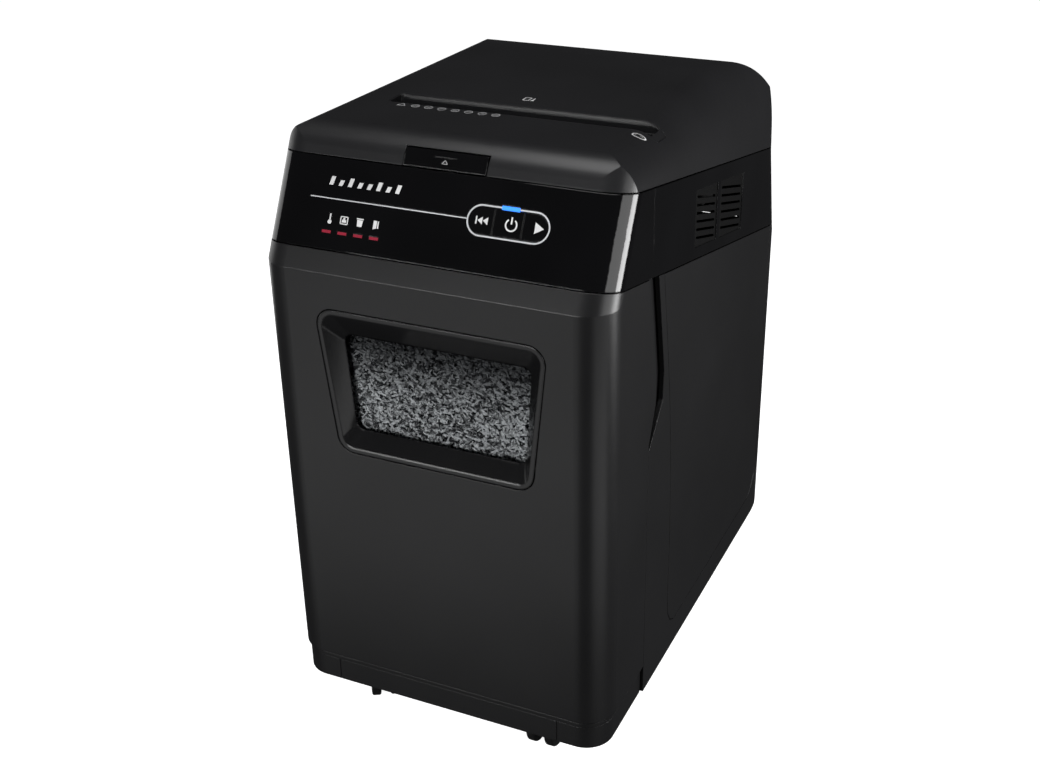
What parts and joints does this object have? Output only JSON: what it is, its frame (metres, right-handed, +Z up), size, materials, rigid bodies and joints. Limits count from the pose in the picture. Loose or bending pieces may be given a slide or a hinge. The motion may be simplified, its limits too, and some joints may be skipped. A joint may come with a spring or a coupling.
{
  "type": "paper shredder",
  "caption": "Office paper shredder with hinged feed lid, gloss control band, windowed pull-out bin, geared cutting rolls and swivel casters.",
  "frame": {"origin": "on the floor, under the centre of the machine's outline", "axes": "+X to the machine's right, +Y to its back, +Z up; the bin pulls out along -Y"},
  "size_m": [0.31, 0.47, 0.545],
  "materials": {
    "lid_plastic": "fine satin",
    "band_gloss": "piano gloss",
    "cabinet_plastic": "satin",
    "bezel_plastic": "satin",
    "pane": "clear, slightly smoked",
    "paper": "loose cut paper",
    "trim_light": "satin",
    "led_red": "translucent",
    "led_blue": "translucent, lit",
    "steel": "ground",
    "zinc": "zinc plated",
    "bronze": "sintered",
    "rubber": "matte",
    "wheel_black": "satin",
    "board": "circuit board",
    "inner_plastic": "satin"
  },
  "bodies": {
    "chassis": {"base_deck": "cabinet_plastic", "base_skirt": "cabinet_plastic", "front_skirt": "cabinet_plastic", "bin_runners": "inner_plastic", "side_wall_right": "cabinet_plastic", "side_wall_left": "cabinet_plastic", "side_insets": "cabinet_plastic", "rear_panel": "cabinet_plastic", "panel_screws": "zinc", "upper_housing_front": "band_gloss", "upper_housing_sides": "band_gloss", "upper_housing_rear": "band_gloss", "vent_grilles": "band_gloss", "control_trim": "trim_light", "control_board": "board", "status_leds": "led_red", "power_led": "led_blue", "rocker_bezel": "inner_plastic", "cord_gland": "rubber", "hinge_pin": "steel", "hopper_tray": "inner_plastic", "main_board": "board", "safety_switches": "inner_plastic", "cutter_plates": "zinc", "shaft_bushes": "bronze", "tie_rods": "zinc", "stripper_combs": "inner_plastic", "motor_case": "zinc", "feed_belts": "rubber"},
    "lid": {"lid_shell": "lid_plastic", "slot_insert": "lid_plastic", "plate_springs": "steel"},
    "lid_key": {"release_tab": "band_gloss"},
    "stack_plate": {"pressure_plate": "inner_plastic"},
    "bin": {"bin_front_panel": "cabinet_plastic", "bin_tub": "inner_plastic", "window_bezel": "bezel_plastic", "window_pane": "pane", "shred_pile": "paper"},
    "reverse_key": {"reverse_button": "band_gloss"},
    "power_key": {"power_button": "band_gloss"},
    "forward_key": {"forward_button": "band_gloss"},
    "mains_rocker": {"power_rocker": "inner_plastic"},
    "bin_switch_plunger": {"switch_plunger": "trim_light"},
    "drum_front": {"cutter_cylinder_front": "steel", "drum_gear_front": "steel"},
    "drum_rear": {"cutter_cylinder_rear": "steel", "drum_gears_rear": "steel"},
    "counter": {"countershaft": "steel"},
    "motor": {"motor_shaft": "steel"},
    "roller_front": {"feed_roller_front": "rubber"},
    "roller_rear": {"feed_roller_rear": "rubber"},
    "swivel_front_left": {"caster_fork_front_left": "wheel_black"},
    "wheel_front_left": {"caster_wheels_front_left": "wheel_black"},
    "swivel_front_right": {"caster_fork_front_right": "wheel_black"},
    "wheel_front_right": {"caster_wheels_front_right": "wheel_black"},
    "swivel_rear_left": {"caster_fork_rear_left": "wheel_black"},
    "wheel_rear_left": {"caster_wheels_rear_left": "wheel_black"},
    "swivel_rear_right": {"caster_fork_rear_right": "wheel_black"},
    "wheel_rear_right": {"caster_wheels_rear_right": "wheel_black"}
  },
  "joints": [
    {"name": "lid_hinge", "type": "hinge", "parent": "chassis", "child": "lid", "pos_m": [0, 0.2295, 0.4385], "axis": [-1, 0, 0], "range_deg": [0, 72]},
    {"name": "lid_key_press", "type": "slide", "parent": "lid", "child": "lid_key", "axis": [0, 0.8821, -0.471], "range_m": [0, 0.0025], "stiffness_N_per_m": 600},
    {"name": "stack_plate_lift", "type": "slide", "parent": "lid", "child": "stack_plate", "axis": [0, 0, 1], "range_m": [0, 0.01], "stiffness_N_per_m": 400, "springref_m": -0.004, "deforming": ["plate_springs"]},
    {"name": "bin_slide", "type": "slide", "parent": "chassis", "child": "bin", "axis": [0, -1, 0], "range_m": [0, 0.3]},
    {"name": "reverse_press", "type": "slide", "parent": "chassis", "child": "reverse_key", "axis": [0, 0.8821, -0.471], "range_m": [0, 0.0008], "stiffness_N_per_m": 500},
    {"name": "power_press", "type": "slide", "parent": "chassis", "child": "power_key", "axis": [0, 0.8821, -0.471], "range_m": [0, 0.0008], "stiffness_N_per_m": 500},
    {"name": "forward_press", "type": "slide", "parent": "chassis", "child": "forward_key", "axis": [0, 0.8821, -0.471], "range_m": [0, 0.0008], "stiffness_N_per_m": 500},
    {"name": "mains_rocker_tilt", "type": "hinge", "parent": "chassis", "child": "mains_rocker", "pos_m": [0.096, 0.228, 0.398], "axis": [1, 0, 0], "range_deg": [0, 16]},
    {"name": "bin_switch_press", "type": "slide", "parent": "chassis", "child": "bin_switch_plunger", "axis": [0, 1, 0], "range_m": [0, 0.003], "stiffness_N_per_m": 150},
    {"name": "drum_rear_spin", "type": "hinge", "parent": "chassis", "child": "drum_rear", "pos_m": [0, -0.069, 0.385], "axis": [1, 0, 0], "continuous": true},
    {"name": "drum_front_spin", "type": "hinge", "parent": "chassis", "child": "drum_front", "pos_m": [0, -0.111, 0.385], "axis": [1, 0, 0], "continuous": true},
    {"name": "counter_spin", "type": "hinge", "parent": "chassis", "child": "counter", "pos_m": [0, -0.01893, 0.40523], "axis": [1, 0, 0], "continuous": true},
    {"name": "motor_spin", "type": "hinge", "parent": "chassis", "child": "motor", "pos_m": [0, 0.01005, 0.39746], "axis": [1, 0, 0], "continuous": true},
    {"name": "roller_front_spin", "type": "hinge", "parent": "chassis", "child": "roller_front", "pos_m": [0, -0.116, 0.4295], "axis": [1, 0, 0], "continuous": true},
    {"name": "roller_rear_spin", "type": "hinge", "parent": "chassis", "child": "roller_rear", "pos_m": [0, -0.064, 0.4295], "axis": [1, 0, 0], "continuous": true},
    {"name": "swivel_front_left_turn", "type": "hinge", "parent": "chassis", "child": "swivel_front_left", "pos_m": [-0.088, -0.19, 0.045], "axis": [0, 0, 1], "continuous": true},
    {"name": "wheel_front_left_roll", "type": "hinge", "parent": "swivel_front_left", "child": "wheel_front_left", "pos_m": [-0.081, -0.20212, 0.019], "axis": [0.866, 0.5, 0], "continuous": true},
    {"name": "swivel_front_right_turn", "type": "hinge", "parent": "chassis", "child": "swivel_front_right", "pos_m": [0.088, -0.19, 0.045], "axis": [0, 0, 1], "continuous": true},
    {"name": "wheel_front_right_roll", "type": "hinge", "parent": "swivel_front_right", "child": "wheel_front_right", "pos_m": [0.088, -0.204, 0.019], "axis": [1, 0, 0], "continuous": true},
    {"name": "swivel_rear_left_turn", "type": "hinge", "parent": "chassis", "child": "swivel_rear_left", "pos_m": [-0.088, 0.16, 0.045], "axis": [0, 0, 1], "continuous": true},
    {"name": "wheel_rear_left_roll", "type": "hinge", "parent": "swivel_rear_left", "child": "wheel_rear_left", "pos_m": [-0.088, 0.174, 0.019], "axis": [-1, 0, 0], "continuous": true},
    {"name": "swivel_rear_right_turn", "type": "hinge", "parent": "chassis", "child": "swivel_rear_right", "pos_m": [0.088, 0.16, 0.045], "axis": [0, 0, 1], "continuous": true},
    {"name": "wheel_rear_right_roll", "type": "hinge", "parent": "swivel_rear_right", "child": "wheel_rear_right", "pos_m": [0.088, 0.174, 0.019], "axis": [-1, 0, 0], "continuous": true}
  ],
  "couplings": [
    {"joint": "drum_rear_spin", "follows": "counter_spin", "ratio": -0.2},
    {"joint": "drum_front_spin", "follows": "counter_spin", "ratio": 0.2},
    {"joint": "motor_spin", "follows": "counter_spin", "ratio": -5},
    {"joint": "roller_rear_spin", "follows": "counter_spin", "ratio": -0.2},
    {"joint": "roller_front_spin", "follows": "counter_spin", "ratio": 0.2}
  ]
}
